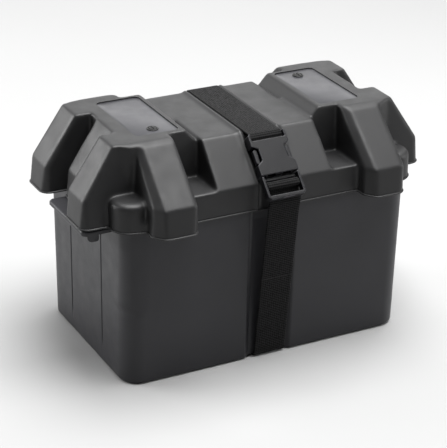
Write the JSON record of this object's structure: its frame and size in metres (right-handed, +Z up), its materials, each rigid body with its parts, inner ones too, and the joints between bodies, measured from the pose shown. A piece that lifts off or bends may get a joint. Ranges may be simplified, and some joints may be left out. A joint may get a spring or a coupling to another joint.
{
  "type": "battery box with deep cycle battery",
  "caption": "Moulded battery box with a vented lift-off lid, hand grips and a webbing strap with side-release buckle, holding a deep cycle battery.",
  "frame": {"origin": "middle of the overall box at its bottom, on the surface it stands on", "axes": "+X along the box's length, -Y is the side with the buckle, +Z up"},
  "size_m": [0.4112, 0.267, 0.2611],
  "materials": {
    "box": "satin moulded polypropylene",
    "lid": "fine spark-textured moulded polypropylene",
    "label": "smooth satin",
    "plug": "gloss",
    "webbing": "ribbed polypropylene weave",
    "buckle": "satin acetal",
    "case": "satin",
    "cover": "satin",
    "cap": "satin",
    "plates": "dull grey lead",
    "lead": "dull grey lead",
    "steel": "stainless"
  },
  "bodies": {
    "root": {"battery_case": "case", "battery_cover": "cover", "box_base": "box", "cell_link_1": "lead", "cell_link_2": "lead", "cell_link_3": "lead", "cell_link_4": "lead", "cell_link_5": "lead", "cell_pack_1": "plates", "cell_pack_2": "plates", "cell_pack_3": "plates", "cell_pack_4": "plates", "cell_pack_5": "plates", "cell_pack_6": "plates", "lock_washer_negative": "steel", "lock_washer_positive": "steel", "strap_lower": "webbing", "terminal_post_negative": "lead", "terminal_post_positive": "lead", "terminal_stud_negative": "steel", "terminal_stud_positive": "steel"},
    "lid": {"lid": "lid", "label_plate_left": "label", "label_plate_right": "label", "vent_plug_left": "plug", "vent_plug_right": "plug", "strap_over": "webbing", "buckle_socket": "buckle"},
    "plug": {"buckle_plug": "buckle", "strap_loop": "webbing"},
    "prong_left": {"prong_left": "buckle"},
    "prong_right": {"prong_right": "buckle"},
    "vent_cap_left": {"vent_cap_left": "cap"},
    "vent_cap_right": {"vent_cap_right": "cap"},
    "wing_nut_positive": {"wing_nut_positive": "steel"},
    "wing_nut_negative": {"wing_nut_negative": "steel"}
  },
  "joints": [
    {"name": "lid_lift", "type": "slide", "parent": "root", "child": "lid", "axis": [0, 0, 1], "range_m": [0, 0.12]},
    {"name": "buckle_release", "type": "slide", "parent": "lid", "child": "plug", "axis": [0, -0.7029, -0.7113], "range_m": [0, 0.036]},
    {"name": "prong_left_press", "type": "hinge", "parent": "plug", "child": "prong_left", "pos_m": [-0.013, -0.11132, 0.21636], "axis": [0, 0.7113, -0.7029], "range_deg": [0, 7], "stiffness_Nm_per_rad": 0.4},
    {"name": "prong_right_press", "type": "hinge", "parent": "plug", "child": "prong_right", "pos_m": [0.017, -0.11132, 0.21636], "axis": [0, -0.7113, 0.7029], "range_deg": [0, 7], "stiffness_Nm_per_rad": 0.4},
    {"name": "vent_cap_left_pull", "type": "slide", "parent": "root", "child": "vent_cap_left", "axis": [0, 0, 1], "range_m": [0, 0.012]},
    {"name": "vent_cap_right_pull", "type": "slide", "parent": "root", "child": "vent_cap_right", "axis": [0, 0, 1], "range_m": [0, 0.012]},
    {"name": "wing_nut_positive_turn", "type": "hinge", "parent": "root", "child": "wing_nut_positive", "pos_m": [-0.123, -0.055, 0.21], "axis": [0, 0, 1], "continuous": true},
    {"name": "wing_nut_negative_turn", "type": "hinge", "parent": "root", "child": "wing_nut_negative", "pos_m": [0.123, -0.055, 0.21], "axis": [0, 0, 1], "continuous": true}
  ]
}
